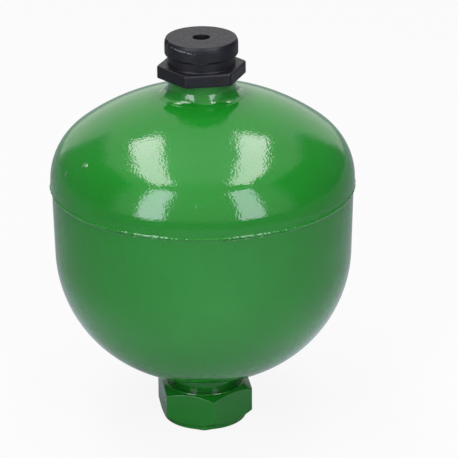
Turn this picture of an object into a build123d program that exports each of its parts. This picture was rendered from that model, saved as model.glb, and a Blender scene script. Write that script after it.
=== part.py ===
"""Welded two-shell hydropneumatic accumulator with a rubber separator.

Z runs up the axis. The origin is the centre of the fluid port's bottom face.
Lengths are in millimetres and angles in degrees. Green painted steel outside,
gas above the rubber and oil below it.
"""
from build123d import *
import os
from math import atan2, cos, radians, sin, sqrt, tan

os.makedirs("parts", exist_ok=True)

# ---- Driving dimensions ------------------------------------------------------

# Drawn shells
shell_wall = 4.0
rim_diameter = 139.4
fluid_draft = 1.3
fluid_skirt = 33.3
fluid_knuckle = 61.1
fluid_crown = 135.1
gas_rim_step = 0.55
gas_draft = 0.0
gas_skirt = 2.6
gas_knuckle = 27.7
gas_crown = 97.9

# Girth weld
groove_depth = 3.0
groove_half_width = 2.5
girth_bead_proud = 1.1
girth_bead_lap = 1.3
girth_crest_drop = 0.9

# Fluid port
port_across_flats = 41.0
port_hex_height = 18.0
port_chamfer_diameter = 39.2
port_top_chamfer = 30.0
port_foot_chamfer = 35.5
port_foot_rim = 1.8
port_neck_diameter = 31.6
port_neck_height = 7.6
port_thread_minor = 18.63
port_thread_depth = 16.0
port_entry_diameter = 21.6
oil_passage_diameter = 12.0
drill_point_angle = 59.0
port_weld_leg = 2.9
port_weld_height = 3.4

# Gas boss
boss_diameter = 31.0
boss_height = 8.4
boss_thread_major = 28.0
boss_thread_length = 11.0
boss_thread_chamfer = 1.2
counterbore_diameter = 18.4
counterbore_depth = 8.0
screw_thread_major = 14.0
screw_hole_depth = 11.5
gas_passage_diameter = 3.0
boss_weld_leg = 4.3
boss_weld_height = 6.0

# Charging screw and its seal
screw_head_diameter = 17.0
screw_head_height = 6.0
screw_shank_length = 10.0
screw_socket_across_flats = 6.0
screw_socket_depth = 5.0
screw_chamfer = 0.8
seal_outer_diameter = 17.4
seal_thickness = 1.4

# Protective cap
cap_across_flats = 36.0
cap_corner_radius = 2.0
cap_flange_height = 5.7
cap_flange_rounding = 0.8
cap_turn = 28.7
cap_neck_diameter = 31.0
cap_neck_height = 4.8
cap_disc_diameter = 33.6
cap_disc_height = 7.6
cap_bevel_width = 0.7
cap_bevel_height = 1.8
cap_disc_rounding = 0.5
cap_top_wall = 2.8
cap_ceiling_diameter = 25.0
weep_hole_diameter = 7.8

# Rubber bladder
rubber_thickness = 3.0
rubber_bead_diameter = 6.4
rubber_pad_diameter = 33.0
rubber_recess_diameter = 27.0

# Clamp ring
ring_thickness = 6.0
ring_above_seam = 5.0
ring_below_seam = 10.0
ring_groove_depth = 2.0
ring_edge = 0.8

# Closing button
button_diameter = 23.0
button_thickness = 2.5
button_nose_height = 1.5
button_stud_diameter = 6.0
button_head_diameter = 9.0
button_head_height = 1.5
washer_diameter = 18.0
washer_thickness = 1.5

# Share of the way from a weld's inner corner to each of its ends
weld_hollow = 0.3

# How far, and how many times its own size, a cutting form runs past a face
past = 1.0
overrun = 2.0

# Clearances
weld_fit = 0.05
thread_fit = 0.1
ring_fit = 0.1
soft_gap = 0.3
seal_fit = 0.1
stud_fit = 0.1
nose_fit = 0.4


# ---- Outline of a drawn shell ------------------------------------------------


class Dome:
    """A shell's outer form: a drafted skirt, a knuckle arc and a crown arc.

    Radii run out from the axis and depths away from the rim plane, both
    before the wall thickness, which `inset` takes off along the normal.
    """

    def __init__(self, rim_radius, draft, skirt, knuckle, crown):
        self.rim_radius = rim_radius
        self.draft = radians(draft)
        self.skirt = skirt
        self.knuckle = knuckle
        self.crown = crown
        skirt_end = rim_radius - skirt * tan(self.draft)
        self.knuckle_r = skirt_end - knuckle * cos(self.draft)
        self.knuckle_h = skirt - knuckle * sin(self.draft)
        self.crown_h = self.knuckle_h - sqrt((crown - knuckle) ** 2 - self.knuckle_r ** 2)
        self.join = atan2(self.knuckle_h - self.crown_h, self.knuckle_r)

    def radius(self, depth, inset=0.0):
        """Radius of the skirt at a depth."""
        return self.rim_radius - depth * tan(self.draft) - inset / cos(self.draft)

    def depth(self, radius, inset=0.0):
        """Depth of the knuckle or crown at a radius."""
        arc = self.knuckle - inset
        if radius > self.knuckle_r + arc * cos(self.join):
            return self.knuckle_h + sqrt(arc ** 2 - (radius - self.knuckle_r) ** 2)
        return self.crown_h + sqrt((self.crown - inset) ** 2 - radius ** 2)

    def point(self, centre_r, centre_h, arc, angle):
        """Point on an arc, with its angle measured from the radius direction."""
        return (centre_r + arc * cos(angle), centre_h + arc * sin(angle))

    def solid(self, inset=0.0, start=0.0):
        """Filled solid of the form, from a start depth to the apex, depth along +Z."""
        arc = self.knuckle - inset
        crown = self.crown - inset
        low = (self.radius(start, inset), start)
        first = self.point(self.knuckle_r, self.knuckle_h, arc, self.draft)
        middle = self.point(self.knuckle_r, self.knuckle_h, arc, (self.draft + self.join) / 2)
        last = self.point(self.knuckle_r, self.knuckle_h, arc, self.join)
        shoulder = self.point(0, self.crown_h, crown, (self.join + radians(90)) / 2)
        apex = (0, self.crown_h + crown)
        edges = [
            Line(low, first),
            ThreePointArc(first, middle, last),
            ThreePointArc(last, shoulder, apex),
            Line(apex, (0, start)),
            Line((0, start), low),
        ]
        return spin(make_face(edges))


def spin(face):
    """Revolve a face drawn as (radius, height) about the Z axis."""
    return revolve(Plane.XZ * face, Axis.Z)


def spin_points(*points):
    """Revolve a straight-sided outline of (radius, height) points."""
    return spin(make_face(Polyline(*points, close=True)))


def disc(diameter, low, high, hole=0.0):
    """Round disc or ring between two heights."""
    outline = Circle(diameter / 2)
    if hole > 0:
        outline -= Circle(hole / 2)
    return Pos(0, 0, low) * extrude(outline, high - low)


# ---- Levels along the axis, worked out from the dimensions above -------------

fluid_rim = rim_diameter / 2
gas_rim = fluid_rim + gas_rim_step
fluid_dome = Dome(fluid_rim, fluid_draft, fluid_skirt, fluid_knuckle, fluid_crown)
gas_dome = Dome(gas_rim, gas_draft, gas_skirt, gas_knuckle, gas_crown)

seam = port_hex_height + port_neck_height + fluid_dome.depth(port_neck_diameter / 2)
port_seat = seam - fluid_dome.depth(port_neck_diameter / 2, shell_wall)
boss_foot = seam + gas_dome.depth(boss_diameter / 2, shell_wall)
shoulder = seam + gas_dome.depth(boss_diameter / 2) + boss_height
boss_top = shoulder + boss_thread_length
seal_level = boss_top - counterbore_depth
head_level = seal_level + seal_thickness
plate_top = port_seat + button_thickness
pad_level = plate_top + soft_gap
pad_top = pad_level + rubber_thickness
washer_level = pad_top + soft_gap
bead_drop = ring_below_seam + rubber_bead_diameter / 2 - ring_groove_depth


def above_seam(shape):
    """Stand a form whose depth runs along +Z on the seam plane."""
    return Pos(0, 0, seam) * shape


def below_seam(shape):
    """Hang a form whose depth runs along +Z under the seam plane."""
    return Pos(0, 0, seam) * Rot(180, 0, 0) * shape


# ---- Shells and girth weld ---------------------------------------------------

groove_root = fluid_rim - groove_depth


def rim_bevel(dome):
    """The ring cut from a shell's rim to make its half of the weld groove."""
    outer = dome.radius(groove_half_width)
    width = groove_half_width * overrun
    reach = groove_root + (outer - groove_root) * overrun
    return spin_points((groove_root, 0), (reach, 0), (reach, width))


def drawn_shell(dome, bore_diameter):
    """A drawn shell with its rim bevelled and a bore through its crown."""
    body = dome.solid() - dome.solid(shell_wall, -shell_wall)
    body -= rim_bevel(dome)
    return body - disc(bore_diameter, 0, dome.depth(0) + shell_wall)


def make_girth_weld():
    """Ring of weld that fills the groove, stands proud and laps onto the fluid shell."""
    crest = (fluid_rim + girth_bead_proud, -girth_crest_drop)
    toe = groove_half_width + girth_bead_lap
    low = (fluid_dome.radius(groove_half_width), -groove_half_width)
    lap = (fluid_dome.radius(toe), -toe)
    high = (gas_dome.radius(groove_half_width), groove_half_width)
    root = (groove_root, 0)
    edges = [
        Line(root, low),
        Line(low, lap),
        ThreePointArc(lap, crest, high),
        Line(high, root),
    ]
    return above_seam(spin(make_face(edges)))


def fillet_weld(dome, foot_radius, leg, height):
    """Hollow-faced weld between a dome and a round foot, depth along +Z."""
    toe = (foot_radius + leg, dome.depth(foot_radius + leg))
    top = (foot_radius, dome.depth(foot_radius) + height)
    corner = (foot_radius, dome.depth(foot_radius))
    hollow = (
        corner[0] + weld_hollow * leg,
        corner[1] + weld_hollow * (toe[1] + top[1] - 2 * corner[1]),
    )
    buried = (foot_radius, toe[1] - leg)
    edges = [
        Line(buried, toe),
        ThreePointArc(toe, hollow, top),
        Line(top, buried),
    ]
    return spin(make_face(edges)) - dome.solid()


# ---- Fluid port --------------------------------------------------------------


def hexagon(across_flats):
    """Hexagon with a corner on -Y."""
    return RegularPolygon(across_flats / 2, 6, major_radius=False, rotation=30)


def make_fluid_port():
    """Turned hexagon port: chamfered ends, round neck, tapped bore and oil passage."""
    flats = port_across_flats / 2
    corner = flats / cos(radians(30)) + past
    rim = port_chamfer_diameter / 2
    drop = (corner - rim) * tan(radians(port_top_chamfer))
    lift = (corner - rim) * tan(radians(port_foot_chamfer))
    turned = spin_points(
        (0, 0),
        (rim, 0),
        (rim, port_foot_rim),
        (corner, port_foot_rim + lift),
        (corner, port_hex_height - drop),
        (rim, port_hex_height),
        (0, port_hex_height),
    )
    body = extrude(hexagon(port_across_flats), port_hex_height) & turned
    body += disc(port_neck_diameter, port_hex_height / 2, port_seat)
    thread = port_thread_minor / 2
    entry = port_entry_diameter / 2
    passage = oil_passage_diameter / 2
    point = (thread - passage) / tan(radians(drill_point_angle))
    bore = spin_points(
        (0, -past),
        (entry + past, -past),
        (thread, entry - thread),
        (thread, port_thread_depth),
        (passage, port_thread_depth + point),
        (passage, port_seat + past),
        (0, port_seat + past),
    )
    return body - bore


# ---- Gas boss, charging screw and seal ---------------------------------------


def make_gas_boss():
    """Turned boss: round foot, threaded stud, counterbore, tapped hole and gas passage."""
    foot = boss_diameter / 2
    stud = boss_thread_major / 2
    head = counterbore_diameter / 2
    screw = screw_thread_major / 2
    passage = gas_passage_diameter / 2
    point = (screw - passage) / tan(radians(drill_point_angle))
    hole_end = seal_level - screw_hole_depth
    return spin_points(
        (passage, boss_foot),
        (foot, boss_foot),
        (foot, shoulder),
        (stud, shoulder),
        (stud, boss_top - boss_thread_chamfer),
        (stud - boss_thread_chamfer, boss_top),
        (head, boss_top),
        (head, seal_level),
        (screw, seal_level),
        (screw, hole_end),
        (passage, hole_end - point),
    )


def make_charging_screw():
    """Socket screw that closes the gas passage."""
    head = screw_head_diameter / 2
    shank = screw_thread_major / 2 - thread_fit
    top = head_level + screw_head_height
    tip = head_level - screw_shank_length
    body = spin_points(
        (0, tip),
        (shank - screw_chamfer, tip),
        (shank, tip + screw_chamfer),
        (shank, head_level),
        (head, head_level),
        (head, top - screw_chamfer),
        (head - screw_chamfer, top),
        (0, top),
    )
    socket = extrude(hexagon(screw_socket_across_flats), screw_socket_depth)
    return body - Pos(0, 0, top - screw_socket_depth) * socket


def make_charging_seal():
    """Flat seal ring under the charging screw's head."""
    return disc(seal_outer_diameter, seal_level, head_level, screw_thread_major + 2 * seal_fit)


# ---- Protective cap ----------------------------------------------------------


def make_cap():
    """Moulded cap: hexagon flange, neck, bevelled disc, hollow inside, weep hole."""
    flange = extrude(Rot(0, 0, cap_turn) * hexagon(cap_across_flats), cap_flange_height)
    flange = fillet(flange.edges().filter_by(Axis.Z), cap_corner_radius)
    ends = flange.edges().filter_by(Axis.Z, reverse=True)
    flange = fillet(ends, cap_flange_rounding)
    neck_top = cap_flange_height + cap_neck_height
    full_height = neck_top + cap_disc_height
    neck = cap_neck_diameter / 2
    rim = cap_disc_diameter / 2
    turned = spin_points(
        (0, 0),
        (neck, 0),
        (neck, neck_top),
        (rim - cap_disc_rounding, neck_top),
        (rim, neck_top + cap_disc_rounding),
        (rim, full_height - cap_bevel_height),
        (rim - cap_bevel_width, full_height),
        (0, full_height),
    )
    stud = boss_thread_major / 2 + thread_fit
    ceiling = cap_ceiling_diameter / 2
    step = boss_thread_length + soft_gap
    hollow = spin_points(
        (0, -past),
        (stud, -past),
        (stud, step),
        (ceiling, step + stud - ceiling),
        (ceiling, full_height - cap_top_wall),
        (0, full_height - cap_top_wall),
    )
    body = flange + turned - hollow
    body -= disc(weep_hole_diameter, 0, full_height + past)
    return Pos(0, 0, shoulder) * body


# ---- Rubber bladder, clamp ring and closing button ---------------------------


def bead_centre():
    """Radius and height of the middle of the rubber's rim bead."""
    radius = fluid_dome.radius(bead_drop, shell_wall + soft_gap) - rubber_bead_diameter / 2
    return (radius, seam - bead_drop)


def make_bladder():
    """Moulded cup that lies along the fluid shell, with a rim bead and a middle pad."""
    outside = shell_wall + soft_gap
    inside = outside + rubber_thickness
    cup = fluid_dome.solid(outside, bead_drop) - fluid_dome.solid(inside, -shell_wall)
    cup = below_seam(cup)
    cup += spin(Pos(*bead_centre()) * Circle(rubber_bead_diameter / 2))
    cup += disc(rubber_pad_diameter, pad_level, pad_top)
    cup -= disc(rubber_recess_diameter, 0, pad_level)
    return cup - disc(button_stud_diameter + 2 * soft_gap, 0, pad_top + past)


def make_clamp_ring():
    """Ring behind the girth seam, grooved underneath for the rubber's bead."""
    outer = fluid_dome.radius(ring_below_seam, shell_wall) - ring_fit
    inner = outer - ring_thickness
    low = seam - ring_below_seam
    high = seam + ring_above_seam
    ring = spin_points(
        (inner, low + ring_edge),
        (inner + ring_edge, low),
        (outer, low),
        (outer, high - ring_edge),
        (outer - ring_edge, high),
        (inner + ring_edge, high),
        (inner, high - ring_edge),
    )
    bead = Circle(rubber_bead_diameter / 2 + soft_gap)
    return ring - spin(Pos(*bead_centre()) * bead)


def make_closing_button():
    """Plate with a nose in the oil passage and a stud riveted over the washer."""
    nose = oil_passage_diameter / 2 - nose_fit
    plate = button_diameter / 2
    stud = button_stud_diameter / 2
    head = button_head_diameter / 2
    head_low = washer_level + washer_thickness
    head_high = head_low + button_head_height
    return spin_points(
        (0, port_seat - button_nose_height),
        (nose - button_nose_height, port_seat - button_nose_height),
        (nose, port_seat),
        (plate, port_seat),
        (plate, plate_top),
        (stud, plate_top),
        (stud, head_low),
        (head, head_low),
        (head - button_head_height / 2, head_high),
        (0, head_high),
    )


def make_button_washer():
    """Washer that spreads the rivet head's load over the rubber."""
    top = washer_level + washer_thickness
    return disc(washer_diameter, washer_level, top, button_stud_diameter + 2 * stud_fit)


# ---- Build and write ---------------------------------------------------------

port_weld = fillet_weld(fluid_dome, port_neck_diameter / 2, port_weld_leg, port_weld_height)
boss_weld = fillet_weld(gas_dome, boss_diameter / 2, boss_weld_leg, boss_weld_height)

nodes = {
    "fluid_shell": below_seam(drawn_shell(fluid_dome, port_neck_diameter + 2 * weld_fit)),
    "gas_shell": above_seam(drawn_shell(gas_dome, boss_diameter + 2 * weld_fit)),
    "girth_weld": make_girth_weld(),
    "fluid_port": make_fluid_port(),
    "fluid_port_weld": below_seam(port_weld),
    "gas_boss": make_gas_boss(),
    "gas_boss_weld": above_seam(boss_weld),
    "charging_screw": make_charging_screw(),
    "charging_screw_seal": make_charging_seal(),
    "protective_cap": make_cap(),
    "bladder": make_bladder(),
    "clamp_ring": make_clamp_ring(),
    "closing_button": make_closing_button(),
    "button_washer": make_button_washer(),
}

for name, shape in nodes.items():
    export_step(shape, f"parts/{name}.step")
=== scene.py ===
"""Dresses the welded hydropneumatic accumulator: enamelled shells, welds, port, boss and cap.

The part's frame is loaded first, and every size below that meets it is read from it.
"""
from math import acos, atan2, cos, pi, radians, sin, sqrt, tan

import bpy
import numpy as np
from bpy.props import FloatProperty, FloatVectorProperty, IntProperty, PointerProperty
from bpy.types import Operator, Panel, PropertyGroup
from mathutils import Matrix, Quaternion, Vector


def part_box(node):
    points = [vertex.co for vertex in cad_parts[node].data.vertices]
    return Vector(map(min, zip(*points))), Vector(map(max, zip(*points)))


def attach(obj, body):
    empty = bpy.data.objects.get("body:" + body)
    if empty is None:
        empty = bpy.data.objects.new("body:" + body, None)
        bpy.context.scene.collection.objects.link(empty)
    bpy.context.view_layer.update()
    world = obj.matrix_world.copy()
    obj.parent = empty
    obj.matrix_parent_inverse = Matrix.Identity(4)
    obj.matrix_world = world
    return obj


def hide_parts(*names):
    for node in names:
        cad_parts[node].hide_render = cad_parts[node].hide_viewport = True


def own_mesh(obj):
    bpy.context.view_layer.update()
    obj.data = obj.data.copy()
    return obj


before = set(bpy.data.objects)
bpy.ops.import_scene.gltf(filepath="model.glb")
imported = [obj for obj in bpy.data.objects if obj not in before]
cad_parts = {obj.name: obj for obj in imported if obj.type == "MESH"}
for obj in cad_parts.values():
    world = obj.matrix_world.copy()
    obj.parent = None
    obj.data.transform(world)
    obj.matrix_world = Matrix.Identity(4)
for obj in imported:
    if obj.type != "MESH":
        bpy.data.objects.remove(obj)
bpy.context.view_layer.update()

bl_info = {
    "name": "Accumulator Dresser",
    "version": (1, 0, 0),
    "blender": (4, 5, 0),
    "location": "View3D > Sidebar > Accumulator",
    "description": "Builds the visible pieces, finishes and studio of a welded accumulator",
    "category": "Object",
}


# ---- Levels read from the packed frame ---------------------------------------


def level(node, top):
    """Height of a node's highest or lowest point, in metres."""
    low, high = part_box(node)
    return high[2] if top else low[2]


SEAM = level("gas_shell", False)
PORT_SEAT = level("fluid_port", True)
BOSS_FOOT = level("gas_boss", False)
BOSS_TOP = level("gas_boss", True)
CAP_LOW = level("protective_cap", False)
CAP_HIGH = level("protective_cap", True)
BLADDER_LOW = level("bladder", False)


# ---- Sizes and colours that a user would change ------------------------------


def length(value, name, description):
    """A length property whose default is given in millimetres."""
    return FloatProperty(
        name=name, description=description, default=value / 1000, min=0.0,
        precision=5, unit="LENGTH",
    )


def angle(value, name, description):
    """An angle property whose default is given in degrees."""
    return FloatProperty(
        name=name, description=description, default=radians(value), unit="ROTATION",
    )


def colour(value, name, description):
    """A linear colour property."""
    return FloatVectorProperty(
        name=name, description=description, default=value, size=3, min=0.0, max=1.0,
        subtype="COLOR",
    )


def amount(value, name, description, high=1.0):
    """A plain number property."""
    return FloatProperty(
        name=name, description=description, default=value, min=0.0, max=high, subtype="UNSIGNED",
    )


class ShellSizes(PropertyGroup):
    """Sizes of the two drawn shells and the girth weld."""

    wall: length(4.0, "Wall", "Thickness of both shells")
    rim: length(69.7, "Rim radius", "Fluid shell's outer radius at the seam")
    fluid_draft: angle(1.3, "Fluid draft", "Draft of the fluid shell's skirt")
    fluid_skirt: length(33.3, "Fluid skirt", "Height of the fluid shell's skirt")
    fluid_knuckle: length(61.1, "Fluid knuckle", "Radius of the fluid shell's knuckle arc")
    fluid_crown: length(135.1, "Fluid crown", "Radius of the fluid shell's crown arc")
    gas_step: length(0.55, "Gas rim step", "How far the gas shell stands out past the fluid shell")
    gas_skirt: length(2.6, "Gas skirt", "Height of the gas shell's skirt")
    gas_knuckle: length(27.7, "Gas knuckle", "Radius of the gas shell's knuckle arc")
    gas_crown: length(97.9, "Gas crown", "Radius of the gas shell's crown arc")
    groove_depth: length(3.0, "Groove depth", "Depth of the girth weld's groove")
    groove_half: length(2.5, "Groove half width", "Half the width of the girth weld's groove")
    bead_proud: length(0.32, "Bead height", "How far the girth bead's nose stands out")
    nose_half: length(0.55, "Nose half width", "Half the width of the bead's raised nose")
    crest_drop: length(0.45, "Crest drop", "How far the bead's crest lies under the seam")
    toe_drop: length(1.55, "Toe drop", "How far the bead's toe lies under the seam")
    toe_proud: length(0.16, "Toe height", "How far the bead's toe stands out")
    bead_lap: length(0.3, "Bead lap", "How far the bead runs past the groove onto the fluid shell")
    ripple: length(0.15, "Bead ripple", "Height of the girth bead's ripples")
    columns: IntProperty(
        name="Columns", description="Facets round each shell", default=256, min=48, max=512,
        subtype="UNSIGNED",
    )


class PortSizes(PropertyGroup):
    """Sizes of the hexagon fluid port and its weld."""

    flats: length(41.0, "Across flats", "Hexagon across its flats")
    hex_height: length(18.0, "Hexagon height", "Height of the hexagon")
    face: length(39.2, "Face diameter", "Diameter inside the chamfers at both ends")
    top_chamfer: angle(30.0, "Top chamfer", "Slope of the top chamfer")
    foot_chamfer: angle(35.5, "Foot chamfer", "Slope of the foot chamfer")
    foot_rim: length(1.8, "Foot rim", "Height of the round rim under the foot chamfer")
    neck: length(31.6, "Neck diameter", "Diameter of the round neck")
    thread_minor: length(18.63, "Thread minor", "Minor diameter of the port's thread")
    thread_major: length(20.955, "Thread major", "Major diameter of the port's thread")
    thread_pitch: length(1.814, "Thread pitch", "Pitch of the port's thread")
    thread_depth: length(16.0, "Thread depth", "Depth of the tapped bore")
    entry: length(21.6, "Entry diameter", "Diameter of the countersunk entry")
    passage: length(12.0, "Passage diameter", "Diameter of the oil passage")
    drill_point: angle(59.0, "Drill point", "Half angle of the bore's conical end")
    weld_leg: length(2.9, "Weld leg", "How far the port's weld runs out along the shell")
    weld_height: length(3.4, "Weld height", "How far the port's weld runs along the neck")
    lip: length(0.22, "Lip", "Height of the raised lip round the top face")
    edge: length(0.25, "Edge rounding", "Rounding of the turned edges under the paint")


class BossSizes(PropertyGroup):
    """Sizes of the gas boss and its weld."""

    foot: length(31.0, "Foot diameter", "Diameter of the boss's round foot")
    stud: length(28.0, "Stud diameter", "Major diameter of the stud's thread")
    pitch: length(1.5, "Thread pitch", "Pitch of the stud's thread")
    thread_depth: length(0.92, "Thread depth", "Depth of the stud's thread")
    chamfer: length(1.2, "Stud chamfer", "Chamfer at the stud's end")
    counterbore: length(18.4, "Counterbore", "Diameter of the counterbore for the charging screw")
    counterbore_depth: length(8.0, "Counterbore depth", "Depth of the counterbore")
    screw: length(14.0, "Screw hole", "Diameter of the charging screw's hole")
    screw_depth: length(11.5, "Screw hole depth", "Depth of the charging screw's hole")
    passage: length(3.0, "Gas passage", "Diameter of the gas passage")
    drill_point: angle(59.0, "Drill point", "Half angle of the hole's conical end")
    weld_leg: length(4.3, "Weld leg", "How far the boss's weld runs out along the shell")
    weld_height: length(4.0, "Weld height", "How far the boss's weld runs up the foot")
    weld_full: amount(0.3, "Weld fullness", "How full the boss's weld is, from hollow to flat")


class CapSizes(PropertyGroup):
    """Sizes of the moulded protective cap."""

    flats: length(36.0, "Across flats", "Cap's hexagon across its flats")
    turn: angle(28.7, "Turn", "Turn of the cap's hexagon from the port's")
    flange: length(5.7, "Flange height", "Height of the hexagon flange")
    flange_edge: length(0.8, "Flange rounding", "Rounding of the flange's top edge")
    flange_foot: length(0.25, "Flange foot rounding", "Rounding of the flange's bottom edge")
    neck: length(31.0, "Neck diameter", "Diameter of the cap's neck")
    neck_height: length(4.8, "Neck height", "Height of the cap's neck")
    disc: length(33.6, "Disc diameter", "Diameter of the cap's disc")
    bevel_width: length(0.7, "Bevel width", "Width of the disc's top bevel")
    bevel_height: length(1.8, "Bevel height", "Height of the disc's top bevel")
    top_wall: length(2.8, "Top wall", "Thickness of the cap's top")
    ceiling: length(25.0, "Ceiling diameter", "Diameter of the space over the stud")
    hole: length(7.8, "Weep hole", "Diameter of the weep hole")
    fit: length(0.1, "Thread fit", "Radial gap between the cap's thread and the stud's")
    nick: length(1.2, "Nick depth", "Depth of the nick in the disc's top edge")


class RubberSizes(PropertyGroup):
    """Sizes of the rubber separator."""

    thickness: length(3.0, "Thickness", "Thickness of the rubber")
    bead: length(6.4, "Bead diameter", "Diameter of the rim bead")
    gap: length(0.3, "Gap", "Gap between the rubber and the steel")
    pad: length(33.0, "Pad diameter", "Diameter of the moulded middle pad")
    recess: length(27.0, "Recess diameter", "Diameter of the recess over the closing button")
    stud_hole: length(6.6, "Stud hole", "Diameter of the hole for the button's stud")
    bead_drop: length(11.2, "Bead drop", "How far the bead's middle hangs under the seam")


class Finishes(PropertyGroup):
    """Colours and surface detail of the finishes."""

    enamel: colour((0.011, 0.228, 0.019), "Enamel", "Green enamel")
    enamel_deep: colour((0.009, 0.205, 0.015), "Enamel, thick", "Green enamel where it lies thick")
    plastic: colour((0.0042, 0.0048, 0.0072), "Cap plastic", "Moulded plastic of the cap")
    plastic_scuffed: colour((0.013, 0.014, 0.017), "Cap plastic, scuffed", "Dusty, scuffed plastic")
    zinc: colour((0.62, 0.61, 0.58), "Zinc", "Zinc plating of the charging screw")
    steel: colour((0.42, 0.41, 0.39), "Steel", "Turned and oiled steel")
    phosphate: colour((0.085, 0.085, 0.09), "Phosphate", "Dark phosphate on the stud's thread")
    rubber: colour((0.03, 0.03, 0.031), "Rubber", "Nitrile rubber")
    peel_size: length(1.2, "Orange peel size", "Width of the waves in the enamel")
    peel_height: length(0.055, "Orange peel height", "Height of the waves in the enamel")


class StageSizes(PropertyGroup):
    """Camera, lamps and floor."""

    distance: length(1316.0, "Camera distance", "From the camera to the seam's middle")
    azimuth: angle(-10.4, "Camera azimuth", "Turn of the camera round the object")
    elevation: angle(21.22, "Camera elevation", "Height of the camera over the horizon")
    roll: angle(0.4, "Camera roll", "Turn of the camera about its own line of sight")
    aim_right: length(11.9, "Aim right", "How far right of the axis the camera aims")
    aim_down: length(22.3, "Aim down", "How far under the seam the camera aims")
    lens: amount(223.9, "Lens", "Focal length in millimetres on a 36 mm sensor", 500.0)
    front_radiance: amount(5.4, "Front lamps", "Their radiance", 50.0)
    overhead_radiance: amount(6.2, "Overhead lamps", "Their radiance", 50.0)
    card_radiance: amount(10.0, "Highlight brightness", "Radiance of the lamps' cards", 50.0)
    ceiling_radiance: amount(1.5, "Ceiling brightness", "Radiance of its card", 50.0)
    flag_radiance: amount(0.22, "Flag brightness", "Radiance of the side cards", 50.0)
    plain_light: amount(0.03, "Plain light", "Strength of the plain light from all round", 5.0)
    floor: colour((0.7, 0.7, 0.7), "Floor", "Colour of the floor")
    pool_size: length(900.0, "Pool size", "Width of the mirrored pool of light on the floor")
    floor_size: length(6000.0, "Floor size", "Width of the floor")


# ---- Curves and surfaces -----------------------------------------------------

HOLD = 0.00015  # from an arc's end to its holding point
SAME_POINT = 1e-7  # points closer than this are one
SHARP_EDGE = radians(40)  # edges that turn further stay sharp
COARSE = 0.003  # spacing of rows where a form is plain
NEAR = 0.0001  # rows this close to a radius or a height belong to it
TURNED_COLUMNS = 192  # round the boss and the rubber


def unit(vectors):
    """Vectors divided by their own lengths."""
    return vectors / np.linalg.norm(vectors, axis=-1, keepdims=True)


def rounded(corners, steps=6):
    """Closed outline through corners, each rounded to its own radius.

    Corners are rows of (radius, height, rounding). A corner P has unit directions a
    and b to its neighbours and a half angle h between them. Its arc of radius r is
    centred on P + (a + b) / |a + b| * r / sin h, touches the sides r / tan h from P,
    and its points turn evenly from one side's touching direction to the other's. A
    holding point follows on each side, so that smooth shading stays within the arc.
    """
    corners = np.asarray(corners, dtype=float)
    p, r = corners[:, :2], corners[:, 2:]
    to_last = np.roll(p, 1, axis=0) - p
    to_next = np.roll(p, -1, axis=0) - p
    a, b = unit(to_last), unit(to_next)
    half = np.arccos(np.clip(np.sum(a * b, axis=1), -1, 1))[:, None] / 2
    reach = r / np.tan(half)
    free = np.linalg.norm(to_next, axis=1)[:, None] - reach - np.roll(reach, -1, axis=0)
    after = np.minimum(HOLD, free / 3)
    before = np.roll(after, 1, axis=0)
    centre = p + unit(a + b) * r / np.sin(half)
    u, v = p + a * reach - centre, p + b * reach - centre
    turn = (pi - 2 * half)[:, None]
    s = np.linspace(0, 1, steps)[None, :, None]
    arc = np.sin((1 - s) * turn) * u[:, None] + np.sin(s * turn) * v[:, None]
    path = centre[:, None] + arc / np.sin(turn)
    held_before = (p + a * (reach + before))[:, None]
    held_after = (p + b * (reach + after))[:, None]
    path = np.concatenate([held_before, path, held_after], axis=1).reshape(-1, 2)
    moved = np.linalg.norm(path - np.roll(path, 1, axis=0), axis=1) > SAME_POINT
    return path[moved]


def divide(outline, spacing, closed=True):
    """Outline with each side cut into equal parts no longer than its spacing."""
    end = np.roll(outline, -1, axis=0) if closed else outline[1:]
    start = outline if closed else outline[:-1]
    side = np.linalg.norm(end - start, axis=1)
    parts = np.maximum(1, np.ceil(side / spacing)).astype(int)
    which = np.repeat(np.arange(len(parts)), parts)
    first = np.repeat(np.cumsum(parts) - parts, parts)
    t = ((np.arange(parts.sum()) - first) / parts[which])[:, None]
    points = start[which] + t * (end - start)[which]
    return points if closed else np.vstack([points, outline[-1:]])


def middles(outline):
    """Middles of a closed outline's sides."""
    return (outline + np.roll(outline, -1, axis=0)) / 2


def even_angles(count):
    """Angles round the axis from -Y towards +X, evenly spaced."""
    return np.arange(count) * 2 * pi / count


def hexagon_angles(per_side, turn=0.0, crowding=0.8):
    """Angles round the axis, crowded at a hexagon's corners.

    Along each sixth of the circle a share u becomes u less crowding times
    sin(2 pi u) / (2 pi), so that its slope is least at the corners.
    """
    u = np.arange(per_side) / per_side
    share = u - crowding * np.sin(2 * pi * u) / (2 * pi)
    return (np.arange(6)[:, None] + share).ravel() * pi / 3 + turn


def hexagon_sum(angles, turn, sharpness):
    """Sum over six flats of the cosine to each flat's normal, raised to a power.

    The flats' distance over this sum's root is a hexagon's radius, with rounder
    corners for a lower power. A corner stands at the turn angle.
    """
    normals = turn + pi / 6 + np.arange(6) * pi / 3
    facing = np.maximum(np.cos(angles[:, None] - normals), 0)
    return np.sum(facing ** sharpness, axis=1)


def thread_form(angles, heights, pitch):
    """Depth of a right-hand thread from 0 on its crests to 1 in its roots.

    The phase is height over pitch less angle over a full turn. The crest takes an
    eighth of the pitch and the root a quarter, with straight flanks between them.
    """
    phase = (heights[:, None] / pitch - angles[None, :] / (2 * pi)) % 1
    from_crest = 2 * np.minimum(phase, 1 - phase)
    return np.clip((from_crest - 0.125) / 0.625, 0, 1)


def smooth(share):
    """A share held between 0 and 1 and eased at both: t squared times (3 - 2 t)."""
    t = np.clip(share, 0, 1)
    return t * t * (3 - 2 * t)


def fade(values, low, high, width):
    """1 between low and high, going smoothly to 0 over a width at both ends."""
    return smooth(np.minimum(values - low, high - values) / width)


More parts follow.
